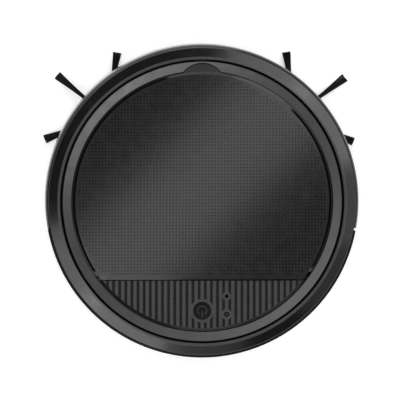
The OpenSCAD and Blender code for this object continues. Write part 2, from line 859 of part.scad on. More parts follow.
module caster_socket() {
    color("#2b2c2f") translate([0, caster_y, 0]) difference() {
        union() {
            translate([0, 0, z_floor]) ring(cavity_r + 2, cavity_r, 24);
            translate([0, 0, socket_z]) cylinder(r = cavity_r + 2, h = 2.4);
            translate([0, 0, socket_z]) cylinder(r = 6, h = 12);
        }
        cylinder(r = stem_r + run, h = 60);
    }
}

module caster_fork() {
    color("#3a3b3e") translate([0, caster_y, 0]) union() {
        translate([0, 0, fork_z]) cylinder(r = cavity_r - 1.5, h = 3);
        translate([0, 0, fork_z]) cylinder(r = stem_r, h = 14.5);
        difference() {
            for (s = [-1, 1]) union() {
                block([s * fork_x - 1.1, -caster_trail - 5, caster_r],
                    [s * fork_x + 1.1, -caster_trail + 5, fork_z + 0.5]);
                translate([0, -caster_trail, caster_r]) along_x(s * fork_x - 1.1, s * fork_x + 1.1, 5);
            }
            translate([0, -caster_trail, caster_r]) along_x(-12, 12, caster_pin_r + run);
        }
    }
}

module caster_wheel() {
    color("#d8d9db") translate([0, caster_y - caster_trail, caster_r]) union() {
        difference() {
            along_x(-caster_w / 2, caster_w / 2, caster_r);
            for (s = [-1, 1]) difference() {
                along_x(s * caster_w / 2 - 1.2, s * caster_w / 2 + 1.2, caster_r - 2.5);
                along_x(-20, 20, 4);
            }
        }
        along_x(-fork_x - 0.9, fork_x + 0.9, caster_pin_r);
    }
}

// ---------------------------------------------------------------- side brushes

module side_brush_motor() {
    color("#34363a") translate([brush_x, brush_y, 0]) difference() {
        union() {
            translate([0, 0, z_floor]) cylinder(r = 15, h = 20);
            translate([-19, 5, z_floor + 4]) cylinder(r = 10, h = 33, $fn = 48);
            block([-19, -5, z_floor], [0, 15, z_floor + 16]);
        }
        cylinder(r = spindle_r + run, h = 24);
    }
}

module side_brush_hub(phase) {
    color("#202124") union() {
        translate([0, 0, 4]) cylinder(r = spindle_r, h = 19);
        translate([0, 0, 3.6]) cylinder(r1 = 9, r2 = brush_hub_r, h = 2);
        translate([0, 0, 5.6]) cylinder(r = brush_hub_r, h = 3.4);
        for (i = [0 : brush_arms - 1]) rotate([0, 0, phase + 360 * i / brush_arms])
            translate([7, 0, hub_z]) rotate([0, 93, 0]) cylinder(r1 = 2.7, r2 = 2, h = 14.5, $fn = 32);
        translate([0, 0, 2.8]) cylinder(r = 3, h = 2, $fn = 32);
    }
}

module side_brush_bristles(phase) {
    color("#08080a") for (i = [0 : brush_arms - 1]) rotate([0, 0, phase + 360 * i / brush_arms])
        tuft(tuft_in, brush_reach);
}

// A flared tuft of bristles that droops towards its tips
module tuft(r0, r1) {
    z0 = hub_z - 0.9;
    rows = [[r0, 1.5, 1.3, z0], [(r0 + r1) / 2, 2.4, 1.0, z0 - 1.1], [r1, 3.8, 0.8, z0 - 3.9]];
    pts = [for (s = rows, c = [[-1, -1], [1, -1], [1, 1], [-1, 1]])
        [s[0], s[1] * c[0], s[3] + s[2] * c[1]]];
    sides = [for (k = [0, 1], c = [0 : 3])
        let (p = 4 * k + c, q = 4 * k + (c + 1) % 4)
        [p, p + 4, q + 4, q]];
    polyhedron(pts, concat([[0, 1, 2, 3]], sides, [[11, 10, 9, 8]]));
}

// ---------------------------------------------------------------- drive wheels, drawn on the right

module wheel_arches() {
    x0 = arm_out + 0.8;
    color("#2d2e31") at_pair() {
        translate([0, wheel_y, 0]) difference() {
            union() {
                translate([0, 0, wheel_z]) along_x(x0, arch_out, arch_r + arch_t);
                block([x0, -arch_r - arch_t, z_floor], [arch_out, arch_r + arch_t, wheel_z]);
            }
            translate([0, 0, wheel_z]) along_x(x0 - 1, arch_out - 1, arch_r);
            block([x0 - 1, -arch_r, 0], [arch_out - 1, arch_r, wheel_z]);
            block([60, -60, -20], [130, 60, z_floor]);
        }
        difference() {
            for (x = [arm_in - 4.4, arm_out + 1.6])
                block([x, pivot_y - 5, z_floor], [x + 2.6, pivot_y + 5, pivot_z + 5]);
            translate([0, pivot_y, pivot_z]) along_x(60, 100, pivot_r);
        }
    }
}

module wheel_pivot_pins() {
    color("#b9bbbe") at_pair() translate([0, pivot_y, pivot_z])
        along_x(arm_in - 4.4, arm_out + 4.2, pivot_r);
}

module wheel_arm() {
    color("#3a3c40") difference() {
        union() {
            translate([0, wheel_y, wheel_z]) along_x(arm_in, arm_out, 22);
            block([arm_in, wheel_y, 20], [arm_out, pivot_y - 6, 46]);
            translate([0, pivot_y, pivot_z]) along_x(arm_in - 1.4, arm_out + 1.2, 6.5);
            block([arm_in, pivot_y - 12, pivot_z - 6], [arm_out, pivot_y, pivot_z + 6]);
            translate([spring_x, wheel_y, spring_z - 1.7]) cylinder(r = 6, h = 1.6, $fn = 48);
        }
        translate([0, wheel_y, wheel_z]) along_x(arm_in + 2, arm_out + 1, 20.3);
        translate([0, pinion_y, pinion_z]) along_x(arm_in + 2, arm_out + 1, 6.4);
        translate([0, wheel_y, wheel_z]) along_x(arm_in - 1, arm_out + 1, axle_r + run);
        translate([0, pinion_y, pinion_z]) along_x(arm_in - 1, arm_in + 3, 1.6);
        translate([0, pivot_y, pivot_z]) along_x(60, 100, pivot_r + run);
    }
}

module wheel_motor() {
    color("#8b8e93") translate([0, pinion_y, pinion_z]) along_x(arm_in - 12, arm_in, 10);
}

module motor_pinion() {
    color("#c9a45a") translate([0, pinion_y, pinion_z]) rotate([pinion_angle, 0, 0]) union() {
        translate([arm_in + 4, 0, 0]) rotate([90, 0, 90]) linear_extrude(6)
            rotate([0, 0, 180 / pinion_teeth]) gear_outline(pinion_teeth, gear_m);
        along_x(arm_in + 0.2, arm_in + 11, 1.5);
    }
}

module wheel_gear() {
    color("#e4e2da") translate([0, wheel_y, wheel_z]) rotate([pinion_angle, 0, 0]) difference() {
        translate([arm_in + 4.5, 0, 0]) rotate([90, 0, 90]) linear_extrude(5)
            gear_outline(gear_teeth, gear_m);
        along_x(60, 100, axle_r);
        for (i = [0 : 5]) rotate([60 * i, 0, 0]) translate([0, 11, 0]) along_x(60, 100, 3.4);
    }
}

module wheel_hub() {
    x1 = wheel_in + wheel_w;
    color("#2a2b2e") translate([0, wheel_y, wheel_z]) union() {
        difference() {
            along_x(wheel_in, x1, wheel_r - 5.5);
            along_x(x1 - 3, x1 + 1, wheel_r - 8.5);
            for (i = [0 : 4]) rotate([72 * i, 0, 0]) translate([0, 13, 0])
                along_x(wheel_in - 1, x1 + 1, 4.4);
        }
        along_x(x1 - 3.1, x1 - 1, 7);
        along_x(arm_in + 0.4, wheel_in + 1, axle_r);
    }
}

module tyre() {
    lugs = 30;
    color("#141416") translate([0, wheel_y, wheel_z]) difference() {
        union() {
            along_x(wheel_in, wheel_in + wheel_w, wheel_r - 1.5);
            intersection() {
                along_x(wheel_in, wheel_in + wheel_w, wheel_r);
                for (i = [0 : lugs - 1]) rotate([360 * i / lugs, 0, 0])
                    block([wheel_in + 0.4, -1.6, -wheel_r - 1], [wheel_in + wheel_w - 0.4, 1.6, -10]);
            }
        }
        along_x(80, 120, wheel_r - 5.5);
    }
}

module suspension_spring() {
    color("#c8c9cc") translate([spring_x, wheel_y, spring_z]) coil(4.4, 0.6, 11.9, 5);
}

// Moves a brush drawn about the origin to its place on one side
module at_brush(side) {
    translate([side * brush_x, brush_y, 0]) children();
}

top_shell();
trim_ring();
bottom_shell();
rear_skirt();
bumper();
bumper_window();
bumper_springs();
bumper_switches();
control_panel();
power_button();
button_spring();
indicator_lenses();
lid();
lid_panel();
lid_hinge_pins();
inner_deck();
bin_bay();
dust_bin();
bin_cover();
bin_flap();
hepa_filter();
suction_duct();
scraper_strip();
fan_housing();
fan_impeller();
fan_motor();
battery_pack();
battery_door();
circuit_board();
caster_socket();
caster_fork();
caster_wheel();
mirror([1, 0, 0]) side_brush_motor();  // side_brush_motor_left
side_brush_motor();  // side_brush_motor_right
at_brush(-1) side_brush_hub(left_brush_phase);  // side_brush_hub_left
at_brush(1) side_brush_hub(right_brush_phase);  // side_brush_hub_right
at_brush(-1) side_brush_bristles(left_brush_phase);  // side_brush_bristles_left
at_brush(1) side_brush_bristles(right_brush_phase);  // side_brush_bristles_right
charging_contacts();
dc_socket();
power_switch_body();
power_switch_rocker();
cliff_sensors();
base_screws();
wheel_pivot_pins();
wheel_arches();
mirror([1, 0, 0]) wheel_arm();  // wheel_arm_left
wheel_arm();  // wheel_arm_right
mirror([1, 0, 0]) wheel_motor();  // wheel_motor_left
wheel_motor();  // wheel_motor_right
mirror([1, 0, 0]) motor_pinion();  // motor_pinion_left
motor_pinion();  // motor_pinion_right
mirror([1, 0, 0]) wheel_gear();  // wheel_gear_left
wheel_gear();  // wheel_gear_right
mirror([1, 0, 0]) wheel_hub();  // wheel_hub_left
wheel_hub();  // wheel_hub_right
mirror([1, 0, 0]) tyre();  // tyre_left
tyre();  // tyre_right
mirror([1, 0, 0]) suspension_spring();  // suspension_spring_left
suspension_spring();  // suspension_spring_right
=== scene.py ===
import json
import math
import random

import bmesh
import bpy
from mathutils import Matrix, Quaternion, Vector
from mathutils.geometry import delaunay_2d_cdt


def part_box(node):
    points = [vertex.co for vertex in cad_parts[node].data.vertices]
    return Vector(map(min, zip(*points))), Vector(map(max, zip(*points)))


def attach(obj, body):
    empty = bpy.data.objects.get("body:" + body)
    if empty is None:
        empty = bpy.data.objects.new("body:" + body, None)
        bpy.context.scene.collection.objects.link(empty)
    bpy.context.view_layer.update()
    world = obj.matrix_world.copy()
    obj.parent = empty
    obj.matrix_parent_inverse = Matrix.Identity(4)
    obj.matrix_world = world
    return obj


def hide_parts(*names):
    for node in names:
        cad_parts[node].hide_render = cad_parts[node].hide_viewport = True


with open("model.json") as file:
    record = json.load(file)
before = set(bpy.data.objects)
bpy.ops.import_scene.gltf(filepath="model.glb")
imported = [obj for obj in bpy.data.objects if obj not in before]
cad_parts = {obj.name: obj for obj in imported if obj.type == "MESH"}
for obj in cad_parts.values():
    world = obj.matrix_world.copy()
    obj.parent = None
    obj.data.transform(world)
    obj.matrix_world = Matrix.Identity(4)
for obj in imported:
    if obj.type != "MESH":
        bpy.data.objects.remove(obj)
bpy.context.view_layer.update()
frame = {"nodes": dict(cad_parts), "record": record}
NODES = frame["nodes"]
MM = 0.001

# ---------------------------------------------------------------- sizes from the frame

PANEL_LO, PANEL_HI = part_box("lid_panel")
BUTTON_LO, BUTTON_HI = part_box("power_button")
PINS_LO, PINS_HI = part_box("lid_hinge_pins")
_, SHELL_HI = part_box("top_shell")

LID_RADIUS = PANEL_HI.x
# The control strip's ribs end a little above the dimpled sheet.
RIB_TOP = PANEL_HI.z + 0.1 * MM
# The finger tab's top lies a little below the top of the shell.
TAB_TOP = SHELL_HI.z - 1.6 * MM


def middle(low, high):
    return (low + high) / 2


# ---------------------------------------------------------------- camera

VIEW_WIDTH = 0.3580
CAMERA_DISTANCE = 9.0
# The view is straight down but for a small tilt, towards this side.
CAMERA_TILT = math.radians(2.5)
CAMERA_SIDE = Vector((-0.58, 0.815, 0))
AIM = Vector((-0.00125, 0.00030, 0.045))
SENSOR_WIDTH = 36
CLIP_NEAR, CLIP_FAR = 0.1, 50


def add_camera():
    data = bpy.data.cameras.new("camera")
    data.sensor_width = SENSOR_WIDTH
    data.lens = data.sensor_width * CAMERA_DISTANCE / VIEW_WIDTH
    data.clip_start, data.clip_end = CLIP_NEAR, CLIP_FAR
    camera = bpy.data.objects.new("camera", data)
    bpy.context.scene.collection.objects.link(camera)
    back = CAMERA_SIDE * math.sin(CAMERA_TILT) + Vector((0, 0, math.cos(CAMERA_TILT)))
    right = Vector((0, 1, 0)).cross(back).normalized()
    up = back.cross(right)
    turn = Matrix((right, up, back)).transposed().to_4x4()
    camera.matrix_world = Matrix.Translation(AIM + back * CAMERA_DISTANCE) @ turn
    bpy.context.scene.camera = camera


# ---------------------------------------------------------------- light and floor

FLOOR_SIZE = 12
SOFT_BOX_DISTANCE = 2.2
# The soft boxes stand in rings: angle from straight up, width, height, and then each box of the
# ring with its compass angle and brightness.
SOFT_BOX_RINGS = [
    (23, 0.62, 0.75, {
        "high_front": (122, 2.7),
        "high_left": (160, 2.3),
        "high_back": (283, 1.9),
        "high_right": (320, 2.8),
        "high_far": (80, 0.8),
    }),
    (50, 1.05, 1.0, {
        "key_right": (30, 2.36),
        "key_right_front": (60, 1.93),
        "key_right_back": (0, 0.84),
        "key_left": (240, 2.55),
        "key_left_side": (210, 2.0),
        "key_back": (270, 0.54),
        "fill_back": (330, 0.4),
    }),
    (65, 1.1, 0.6, {
        "mid_front": (90, 1.98),
        "mid_left": (135, 1.52),
        "mid_back": (315, 0.22),
    }),
    (79, 1.1, 0.5, {
        "low_front": (90, 1.7),
        "low_front_left": (120, 2.0),
        "low_left": (150, 0.43),
        "low_back_left": (243, 1.7),
        "low_back": (272, 1.0),
    }),
]
# Two long lamps hang over the lid, and each stands this far out along the diagonal.
LAMPS = {"over_lamp_near": 0.018, "over_lamp_far": -0.010}
LAMP_HEIGHT = 0.50
LAMP_LENGTH = 0.36
LAMP_WIDTH = 0.050
LAMP_BRIGHTNESS = 1.55
LAMP_TURN = 45
# A light's power for each square metre of it and each unit of brightness.
LIGHT_POWER = 4


def place_light(name, spot, aim, width, height, brightness, turn=0.0):
    """An area light at a spot, facing the aim point, turned about its own axis in degrees."""
    data = bpy.data.lights.new(name, "AREA")
    data.shape = "RECTANGLE"
    data.size, data.size_y = width, height
    data.energy = LIGHT_POWER * brightness * width * height
    light = bpy.data.objects.new(name, data)
    bpy.context.scene.collection.objects.link(light)
    light.location = spot
    light.rotation_mode = "QUATERNION"
    facing = (spot - aim).to_track_quat("Z", "Y")
    light.rotation_quaternion = facing @ Quaternion((0, 0, 1), math.radians(turn))
    light.visible_camera = False


def direction(azimuth, polar):
    """The way out at a compass angle and an angle from straight up."""
    a, p = math.radians(azimuth), math.radians(polar)
    return Vector((math.cos(a) * math.sin(p), math.sin(a) * math.sin(p), math.cos(p)))


def add_studio():
    world = bpy.data.worlds.new("studio")
    bpy.context.scene.world = world
    world.use_nodes = True
    # The soft boxes and lamps give all the light.
    world.node_tree.nodes["Background"].inputs["Strength"].default_value = 0.0
    origin = Vector((0, 0, 0))
    for polar, width, height, boxes in SOFT_BOX_RINGS:
        for name, (azimuth, brightness) in boxes.items():
            spot = direction(azimuth, polar) * SOFT_BOX_DISTANCE
            place_light(name, spot, origin, width, height, brightness)
    for name, along in LAMPS.items():
        spot = Vector((along, -along, LAMP_HEIGHT))
        below = Vector((along, -along, 0))
        place_light(name, spot, below, LAMP_LENGTH, LAMP_WIDTH, LAMP_BRIGHTNESS, LAMP_TURN)
    bpy.context.scene.view_settings.view_transform = "Standard"


def add_floor(material):
    bpy.ops.mesh.primitive_plane_add(size=FLOOR_SIZE)
    floor = bpy.context.object
    floor.name = "floor"
    floor.data.materials.append(material)


# ---------------------------------------------------------------- materials

# Most of a noise pattern's values lie between these two.
NOISE_LOW, NOISE_HIGH = 0.3, 0.7
LEAST_ROUGHNESS = 0.02
# How far the roughness drifts on plastic and on brushed metal, as a share of itself.
GLOSS_DRIFT = 0.15
STREAK_DRIFT = 0.4


class Paint:
    """One node-based material, built up in steps from the object's own coordinates."""

    def __init__(self, name, colour, roughness, metallic=0.0):
        self.material = bpy.data.materials.new(name)
        self.material.use_nodes = True
        self.tree = self.material.node_tree
        self.shader = self.tree.nodes["Principled BSDF"]
        self.place = self.add("ShaderNodeTexCoord").outputs["Object"]
        self.colour = colour
        self.roughness = roughness
        self.set("Base Color", (*colour, 1))
        self.set("Roughness", roughness)
        self.set("Metallic", metallic)

    def set(self, socket, value):
        """Sets one value on the shader itself."""
        self.shader.inputs[socket].default_value = value

    def add(self, kind, **values):
        node = self.tree.nodes.new(kind)
        for key, value in values.items():
            setattr(node, key, value)
        return node

    def link(self, out, socket):
        self.tree.links.new(out, socket)

    def noise(self, size_mm, detail, stretch=None):
        """A noise pattern with features about size_mm across."""
        noise = self.add("ShaderNodeTexNoise")
        noise.inputs["Scale"].default_value = 1 / (size_mm * MM)
        noise.inputs["Detail"].default_value = detail
        place = self.place
        if stretch:
            mapping = self.add("ShaderNodeMapping")
            mapping.inputs["Scale"].default_value = stretch
            self.link(place, mapping.inputs["Vector"])
            place = mapping.outputs[0]
        self.link(place, noise.inputs["Vector"])
        return noise.outputs["Fac"]

    def map_range(self, value, start, end, low=0, high=1):
        """Maps start..end to low..high."""
        scale = self.add("ShaderNodeMapRange")
        scale.inputs["From Min"].default_value = start
        scale.inputs["From Max"].default_value = end
        scale.inputs["To Min"].default_value = low
        scale.inputs["To Max"].default_value = high
        self.link(value, scale.inputs["Value"])
        return scale.outputs[0]

    def mottle(self, pattern, amount):
        """Lets the colour drift darker and lighter with a pattern."""
        mix = self.add("ShaderNodeMix", data_type="RGBA")
        dark = [c * (1 - amount) for c in self.colour]
        light = [min(1, c * (1 + amount)) for c in self.colour]
        mix.inputs["A"].default_value = (*dark, 1)
        mix.inputs["B"].default_value = (*light, 1)
        self.link(self.map_range(pattern, NOISE_LOW, NOISE_HIGH), mix.inputs["Factor"])
        self.link(mix.outputs["Result"], self.shader.inputs["Base Color"])

    def polish(self, pattern, amount):
        """Lets the roughness drift with a pattern."""
        low = max(LEAST_ROUGHNESS, self.roughness - amount)
        high = min(1, self.roughness + amount)
        drift = self.map_range(pattern, NOISE_LOW, NOISE_HIGH, low, high)
        self.link(drift, self.shader.inputs["Roughness"])

    def fade(self, start, end, colour):
        """Goes over to another colour between two heights on the object."""
        split = self.add("ShaderNodeSeparateXYZ")
        self.link(self.place, split.inputs[0])
        mix = self.add("ShaderNodeMix", data_type="RGBA")
        mix.inputs["B"].default_value = (*colour, 1)
        base = self.shader.inputs["Base Color"].links[0].from_socket
        self.link(base, mix.inputs["A"])
        self.link(self.map_range(split.outputs["Z"], start, end), mix.inputs["Factor"])
        self.link(mix.outputs["Result"], self.shader.inputs["Base Color"])

    def rough_up(self, pattern, depth_mm):
        """Adds a bump pattern."""
        bump = self.add("ShaderNodeBump")
        bump.inputs["Distance"].default_value = depth_mm * MM
        self.link(pattern, bump.inputs["Height"])
        self.link(bump.outputs[0], self.shader.inputs["Normal"])


def moulded(name, colour, roughness, grain_mm, depth_mm, drift=0.1):
    """Moulded plastic: an etched grain, faint flow marks and slightly uneven gloss."""
    paint = Paint(name, colour, roughness)
    paint.mottle(paint.noise(size_mm=22, detail=3), drift)
    paint.polish(paint.noise(size_mm=9, detail=4), roughness * GLOSS_DRIFT)
    paint.rough_up(paint.noise(size_mm=grain_mm, detail=2), depth_mm)
    return paint


def smooth(name, colour, roughness, specular=0.5):
    """Plastic from a polished mould, with hardly any grain."""
    paint = moulded(name, colour, roughness, grain_mm=0.5, depth_mm=0.0005)
    paint.set("Specular IOR Level", specular)
    return paint


def brushed_metal(name, colour, roughness, stretch):
    """Metal with fine streaks along the axis that is stretched the most."""
    paint = Paint(name, colour, roughness, metallic=1.0)
    streaks = paint.noise(size_mm=0.8, detail=4, stretch=stretch)
    paint.mottle(streaks, amount=0.12)
    paint.polish(streaks, roughness * STREAK_DRIFT)
    paint.rough_up(streaks, depth_mm=0.01)
    return paint


def rubber(name, colour, roughness):
    paint = Paint(name, colour, roughness)
    paint.mottle(paint.noise(size_mm=14, detail=4), amount=0.25)
    paint.polish(paint.noise(size_mm=3, detail=4), amount=0.08)
    paint.rough_up(paint.noise(size_mm=0.4, detail=3), depth_mm=0.04)
    return paint


def paper(name, colour):
    paint = Paint(name, colour, roughness=0.85)
    fibres = paint.noise(size_mm=0.6, detail=5, stretch=(1, 1, 0.25))
    paint.mottle(fibres, amount=0.1)
    paint.rough_up(fibres, depth_mm=0.05)
    return paint


def solder_mask(name, colour):
    """A circuit board: fine copper tracks under green lacquer."""
    paint = Paint(name, colour, roughness=0.3)
    tracks = paint.add("ShaderNodeTexBrick")
    tracks.inputs["Scale"].default_value = 160
    tracks.inputs["Color1"].default_value = (0.012, 0.1, 0.045, 1)
    tracks.inputs["Color2"].default_value = (0.02, 0.15, 0.07, 1)
    tracks.inputs["Mortar"].default_value = (0.05, 0.26, 0.12, 1)
    tracks.inputs["Mortar Size"].default_value = 0.06
    paint.link(paint.place, tracks.inputs["Vector"])
    paint.link(tracks.outputs["Color"], paint.shader.inputs["Base Color"])
    paint.rough_up(tracks.outputs["Fac"], depth_mm=0.03)
    return paint


def dark_lens(name, colour, roughness):
    paint = Paint(name, colour, roughness)
    paint.polish(paint.noise(size_mm=4, detail=3), amount=0.02)
    paint.set("Specular IOR Level", 0.3)
    paint.set("Coat Weight", 0.15)
    paint.set("Coat Roughness", 0.03)
    return paint


def floor_paint():
    """A pale floor that glows a little, so that it stays white right up to the object."""
    paint = Paint("pale_floor", (0.86, 0.86, 0.86), roughness=0.6)
    paint.mottle(paint.noise(size_mm=400, detail=2), amount=0.01)
    paint.set("Emission Color", (1, 1, 1, 1))
    paint.set("Emission Strength", 0.45)
    return paint


def frame_paint():
    """Glossy frame plastic with a painted sheen: lighter colour on the finger tab and level
    with the dimpled sheet.
    """
    paint = smooth("lid_painted_sheen", (0.002, 0.002, 0.0022), 0.1)
    # Painted sheen: lighter colour at and below the dimpled sheet's level, and on the finger
    # tab's top.
    paint.fade(RIB_TOP + 0.12 * MM, RIB_TOP + 0.04 * MM, (0.018, 0.018, 0.0185))
    paint.fade(TAB_TOP - 0.12 * MM, TAB_TOP - 0.04 * MM, (0.035, 0.035, 0.036))
    return paint


def shell_paint():
    """Glossy shell plastic with a painted highlight: a lighter colour on the narrow flat land
    round the trim ring.
    """
    paint = smooth("shell_black", (0.0055, 0.0055, 0.006), 0.2)
    # Painted highlight: a lighter ring of colour on the flat land at the shell's top.
    paint.fade(SHELL_HI.z - 0.25 * MM, SHELL_HI.z - 0.1 * MM, (0.045, 0.045, 0.047))
    return paint


def ribbed_paint():
    """Satin panel plastic with painted shade, black between the ribs and on the rim above them,
    and a painted sheen on the rib tops.
    """
    black = (0.0015, 0.0015, 0.0016)
    paint = smooth("panel_satin", black, 0.3, 0.2)
    # Painted sheen on the rib tops; the black base colour between them is painted shade.
    paint.fade(RIB_TOP - 0.34 * MM, RIB_TOP - 0.13 * MM, (0.042, 0.042, 0.043))
    # Painted shade: black again on the rim above the ribs.
    paint.fade(RIB_TOP + 0.05 * MM, RIB_TOP + 0.15 * MM, black)
    return paint


def dimpled_paint():
    """Satin lid plastic with painted shade: black down inside the dimples, and lighter on the
    flat sheet between them.
    """
    paint = smooth("lid_textured", (0.0005, 0.0005, 0.0005), 0.17, 0.45)
    # Painted shade: the black base colour darkens the dimples, and the flat sheet is painted
    # lighter.
    paint.fade(PANEL_HI.z - 0.12 * MM, PANEL_HI.z - 0.02 * MM, (0.014, 0.014, 0.0143))
    return paint


def make_paints():
    """One paint for each material slot of the record.

    A smooth paint gives its colour, roughness and specular, and a moulded one its colour,
    roughness, and the size and depth of its grain in millimetres.
    """
    paints = {
        "gloss_shell": shell_paint(),
        "satin_trim": smooth("trim_satin", (0.002, 0.002, 0.0022), 0.22),
        "matte_base": smooth("base_matte", (0.006, 0.006, 0.0065), 0.6, 0.04),
        "ribbed_panel": ribbed_paint(),
        "button": smooth("button_satin", (0.005, 0.005, 0.0052), 0.6, 0.1),
        "lid_frame": frame_paint(),
        "lid_texture": dimpled_paint(),
        "inner_plastic": moulded("inner_black", (0.03, 0.031, 0.034), 0.5, 0.6, 0.02),
        "smoke_bin": moulded("bin_smoke", (0.06, 0.063, 0.07), 0.22, 2.0, 0.005),
        "bin_cover": moulded("cover_grey", (0.07, 0.073, 0.08), 0.42, 0.5, 0.02),
        "fan_plastic": moulded("fan_grey", (0.45, 0.46, 0.48), 0.4, 0.6, 0.01),
        "motor_case": moulded("gearbox_black", (0.035, 0.036, 0.04), 0.48, 0.5, 0.03),
        "brush_hub": moulded("hub_black", (0.008, 0.008, 0.009), 0.35, 0.5, 0.01),
        "switch_plastic": moulded("switch_blue", (0.03, 0.07, 0.2), 0.4, 0.5, 0.01),
        "socket_plastic": moulded("socket_black", (0.012, 0.012, 0.014), 0.4, 0.5, 0.01),
        "rocker_plastic": moulded("rocker_gloss", (0.014, 0.014, 0.016), 0.2, 0.6, 0.003),
        "caster_nylon": moulded("caster_white", (0.7, 0.7, 0.7), 0.45, 0.6, 0.02),
        "gear_nylon": moulded("gear_nylon", (0.72, 0.7, 0.64), 0.4, 0.6, 0.01),
        "wheel_plastic": moulded("wheel_black", (0.03, 0.03, 0.033), 0.45, 0.5, 0.02),
        "battery_wrap": moulded("battery_blue", (0.03, 0.11, 0.36), 0.25, 5.0, 0.05, 0.2),
        "bristle": moulded("bristle_black", (0.002, 0.002, 0.002), 0.5, 0.3, 0.003),
        "ir_window": moulded("infrared_black", (0.006, 0.003, 0.005), 0.12, 2.0, 0.0005),
        "lens": dark_lens("lens_black", (0.003, 0.003, 0.003), 0.06),
        "rubber": rubber("scraper_rubber", (0.014, 0.014, 0.014), 0.65),
        "tyre": rubber("tyre_rubber", (0.016, 0.016, 0.016), 0.75),
        "filter_paper": paper("filter_paper", (0.75, 0.73, 0.66)),
        "pcb": solder_mask("board_green", (0.015, 0.12, 0.05)),
        "spring_steel": brushed_metal("spring_steel", (0.6, 0.6, 0.62), 0.25, (1, 1, 8)),
        "steel_pins": brushed_metal("pin_blackened", (0.02, 0.02, 0.022), 0.4, (0.1, 1, 1)),
        "motor_steel": brushed_metal("motor_can", (0.5, 0.5, 0.52), 0.32, (0.1, 1, 1)),
        "pinion_brass": brushed_metal("pinion_brass", (0.72, 0.52, 0.22), 0.25, (0.2, 1, 1)),
        "contact_metal": brushed_metal("contact_gold", (0.8, 0.6, 0.3), 0.22, (0.2, 1, 1)),
    }
    return {slot: paint.material for slot, paint in paints.items()}


def dress(node, material):
    """Gives a CAD node its material."""
    node.data.materials.clear()
    node.data.materials.append(material)


# ---------------------------------------------------------------- mesh helpers


def new_piece(name, mesh, body, slot, material, *stands_for):
    piece = bpy.data.objects.new(name, mesh)
    bpy.context.scene.collection.objects.link(piece)
    mesh.materials.append(material)
    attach(piece, body)
    if stands_for:
        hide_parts(*stands_for)


def finished_mesh(name, bm, sharp_degrees=30):
    bmesh.ops.recalc_face_normals(bm, faces=bm.faces)
    mesh = bpy.data.meshes.new(name)
    bm.to_mesh(mesh)
    bm.free()
    mesh.shade_smooth()
    mesh.set_sharp_from_angle(angle=math.radians(sharp_degrees))
    return mesh


def heading(path, k):
    """Which way a path goes at its point k."""
    return path[min(k + 1, len(path) - 1)] - path[max(k - 1, 0)]


def close_tube(bm, rings):
    """The sides and both ends of a tube through rings of vertices."""
    for a, b in zip(rings, rings[1:]):
        for k in range(len(a)):
            n = (k + 1) % len(a)
            bm.faces.new((a[k], a[n], b[n], b[k]))
    bm.faces.new(rings[0])
    bm.faces.new(rings[-1])


# ---------------------------------------------------------------- the dimpled lid

DIMPLE_PITCH = 2.88 * MM
DIMPLE_RADIUS = 0.86 * MM
DIMPLE_DEPTH = 0.3 * MM
# Inside its rim a dimple drops steeply to this share of its radius and depth.
SLOPE_RADIUS = 0.84
SLOPE_DEPTH = 0.85
DIMPLE_STEPS = 8
CELL_MARGIN = 0.7 * MM
OUTLINE_STEPS = 180
# The notch at a hinge lug reaches this far in from the pins' ends, and past their middle.
NOTCH_IN = 19.1 * MM
NOTCH_PAST = 2.1 * MM
# For delaunay_2d_cdt: keep only the triangles inside the outline.
INSIDE_ONLY = 1
SAME_POINT = 1e-7


def lid_outline():
    """The sheet's D-shaped edge, with a notch at each hinge lug, counter-clockwise."""
    back = PANEL_LO.y
    notch_x = (PINS_HI.x - PINS_LO.x) / 2 - NOTCH_IN
    notch_y = middle(PINS_LO.y, PINS_HI.y) + NOTCH_PAST
    start = math.asin(notch_y / LID_RADIUS)
    arc = []
    for i in range(OUTLINE_STEPS + 1):
        a = start + (math.pi - 2 * start) * i / OUTLINE_STEPS
        arc.append(Vector((LID_RADIUS * math.cos(a), LID_RADIUS * math.sin(a))))
    left = [Vector((-notch_x, notch_y)), Vector((-notch_x, back))]
    right = [Vector((notch_x, back)), Vector((notch_x, notch_y))]
    return arc + left + right, notch_x, notch_y


def cells_inside(notch_x, notch_y):
    """The grid cells that lie wholly inside the sheet, by their column and row."""
    reach = int(LID_RADIUS / DIMPLE_PITCH) + 2
    cells = []
    for i in range(-reach, reach):
        for j in range(-reach, reach):
            xs = [(i + k - 0.5) * DIMPLE_PITCH for k in (0, 1)]
            ys = [(j + k) * DIMPLE_PITCH for k in (0, 1)]
            far = max(math.hypot(x, y) for x in xs for y in ys)
            in_circle = far < LID_RADIUS - CELL_MARGIN
            off_back = ys[0] > PANEL_LO.y + CELL_MARGIN
            beside_notch = max(map(abs, xs)) > notch_x - CELL_MARGIN
            at_lug = beside_notch and ys[0] < notch_y + CELL_MARGIN
            if in_circle and off_back and not at_lug:
                cells.append((i, j))
    return cells


def dimple_ring(bm, centre, radius, drop):
    ring = []
    for k in range(DIMPLE_STEPS):
        a = 2 * math.pi * (k + 0.5) / DIMPLE_STEPS
        x = centre.x + radius * math.cos(a)
        y = centre.y + radius * math.sin(a)
        ring.append(bm.verts.new((x, y, PANEL_HI.z - drop)))
    return ring


def dimple(bm, square, centre):
    """A shallow dish in one square cell of the sheet."""
    rim = dimple_ring(bm, centre, DIMPLE_RADIUS, 0)
    slope = dimple_ring(bm, centre, DIMPLE_RADIUS * SLOPE_RADIUS, DIMPLE_DEPTH * SLOPE_DEPTH)
    bottom = bm.verts.new((centre.x, centre.y, PANEL_HI.z - DIMPLE_DEPTH))
    for side in range(4):
        # Rim vertex 2 * side is the one past each of the +X, +Y, -X and -Y directions.
        before, after = rim[2 * side - 1], rim[2 * side]
        bm.faces.new((square[side], square[(side + 1) % 4], after, before))
        bm.faces.new((square[(side + 1) % 4], rim[2 * side + 1], after))
    for k in range(DIMPLE_STEPS):
        n = (k + 1) % DIMPLE_STEPS
        bm.faces.new((rim[k], rim[n], slope[n], slope[k]))
        bm.faces.new((slope[k], slope[n], bottom))


